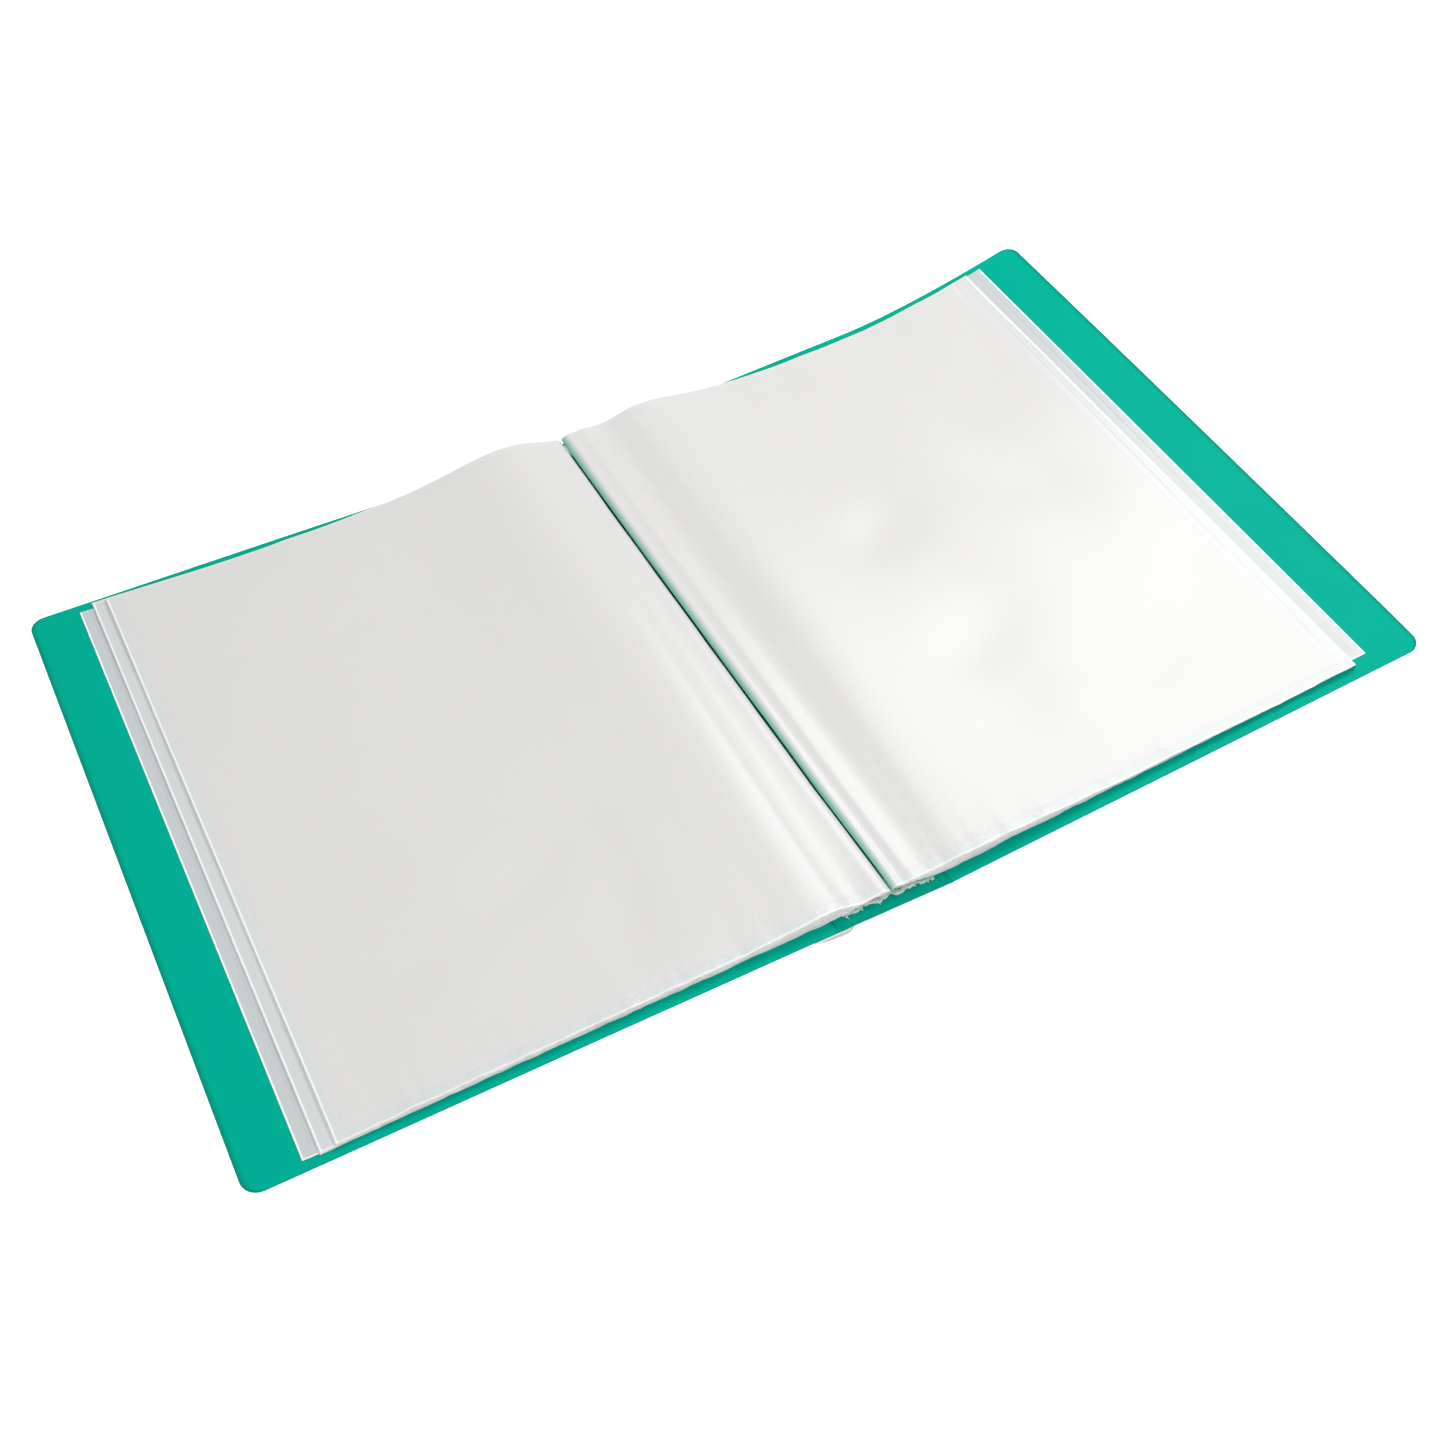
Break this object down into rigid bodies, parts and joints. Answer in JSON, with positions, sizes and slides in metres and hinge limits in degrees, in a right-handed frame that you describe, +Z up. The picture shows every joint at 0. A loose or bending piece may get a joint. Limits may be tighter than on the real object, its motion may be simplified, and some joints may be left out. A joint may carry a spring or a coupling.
{
  "type": "display book with clear pockets",
  "caption": "Soft plastic cover with a scored spine, open at its middle, and four bundles of clear A4 pockets fused along seams on the spine.",
  "frame": {"origin": "on the table, at the middle of the spine's underside: the centre of the label sleeve's flat lower face", "axes": "+X across the open book from the front cover to the back cover, +Y along the spine towards the pockets' open mouths, +Z up"},
  "size_m": [0.5165, 0.31, 0.0383],
  "materials": {
    "cover_sheet": "satin extruded polypropylene sheet, teal green",
    "pocket_film": "thin milky clear polypropylene film, glossy",
    "seam_bead": "fused film, frosted",
    "sleeve_film": "clear polypropylene film",
    "label_card": "uncoated white card"
  },
  "bodies": {
    "spine": {"spine_panel": "cover_sheet", "front_crease": "cover_sheet", "back_crease": "cover_sheet", "label_sleeve": "sleeve_film", "seam_1": "seam_bead", "seam_2": "seam_bead", "seam_3": "seam_bead", "seam_4": "seam_bead"},
    "front_cover": {"front_cover": "cover_sheet"},
    "back_cover": {"back_cover": "cover_sheet"},
    "label_card": {"label_card": "label_card"},
    "bundle_1": {"pocket_01": "pocket_film", "pocket_02": "pocket_film", "pocket_03": "pocket_film", "pocket_04": "pocket_film", "pocket_05": "pocket_film", "pocket_06": "pocket_film", "pocket_07": "pocket_film", "pocket_08": "pocket_film", "pocket_09": "pocket_film", "pocket_10": "pocket_film"},
    "bundle_2": {"pocket_11": "pocket_film", "pocket_12": "pocket_film", "pocket_13": "pocket_film", "pocket_14": "pocket_film", "pocket_15": "pocket_film", "pocket_16": "pocket_film", "pocket_17": "pocket_film", "pocket_18": "pocket_film", "pocket_19": "pocket_film", "pocket_20": "pocket_film"},
    "bundle_3": {"pocket_21": "pocket_film", "pocket_22": "pocket_film", "pocket_23": "pocket_film", "pocket_24": "pocket_film", "pocket_25": "pocket_film", "pocket_26": "pocket_film", "pocket_27": "pocket_film", "pocket_28": "pocket_film", "pocket_29": "pocket_film", "pocket_30": "pocket_film"},
    "bundle_4": {"pocket_31": "pocket_film", "pocket_32": "pocket_film", "pocket_33": "pocket_film", "pocket_34": "pocket_film", "pocket_35": "pocket_film", "pocket_36": "pocket_film", "pocket_37": "pocket_film", "pocket_38": "pocket_film", "pocket_39": "pocket_film", "pocket_40": "pocket_film"}
  },
  "joints": [
    {"name": "front_cover_fold", "type": "hinge", "parent": "spine", "child": "front_cover", "pos_m": [-0.0255, 0, 0.00335], "axis": [0, 1, 0], "range_deg": [0, 90.7]},
    {"name": "back_cover_fold", "type": "hinge", "parent": "spine", "child": "back_cover", "pos_m": [0.0255, 0, 0.00335], "axis": [0, -1, 0], "range_deg": [0, 81.5]},
    {"name": "bundle_1_fold", "type": "hinge", "parent": "spine", "child": "bundle_1", "pos_m": [-0.015, 0, 0.0053], "axis": [0, 1, 0], "range_deg": [0, 91]},
    {"name": "bundle_2_fold", "type": "hinge", "parent": "spine", "child": "bundle_2", "pos_m": [-0.005, 0, 0.0053], "axis": [0, 1, 0], "range_deg": [0, 91]},
    {"name": "bundle_3_fold", "type": "hinge", "parent": "spine", "child": "bundle_3", "pos_m": [0.005, 0, 0.0053], "axis": [0, -1, 0], "range_deg": [0, 82]},
    {"name": "bundle_4_fold", "type": "hinge", "parent": "spine", "child": "bundle_4", "pos_m": [0.015, 0, 0.0053], "axis": [0, -1, 0], "range_deg": [0, 82]},
    {"name": "label_card_slide", "type": "slide", "parent": "spine", "child": "label_card", "axis": [0, 1, 0], "range_m": [0, 0.28]}
  ],
  "couplings": [
    {"joint": "bundle_1_fold", "follows": "front_cover_fold", "ratio": 1},
    {"joint": "bundle_2_fold", "follows": "front_cover_fold", "ratio": 1},
    {"joint": "bundle_3_fold", "follows": "back_cover_fold", "ratio": 1},
    {"joint": "bundle_4_fold", "follows": "back_cover_fold", "ratio": 1}
  ]
}
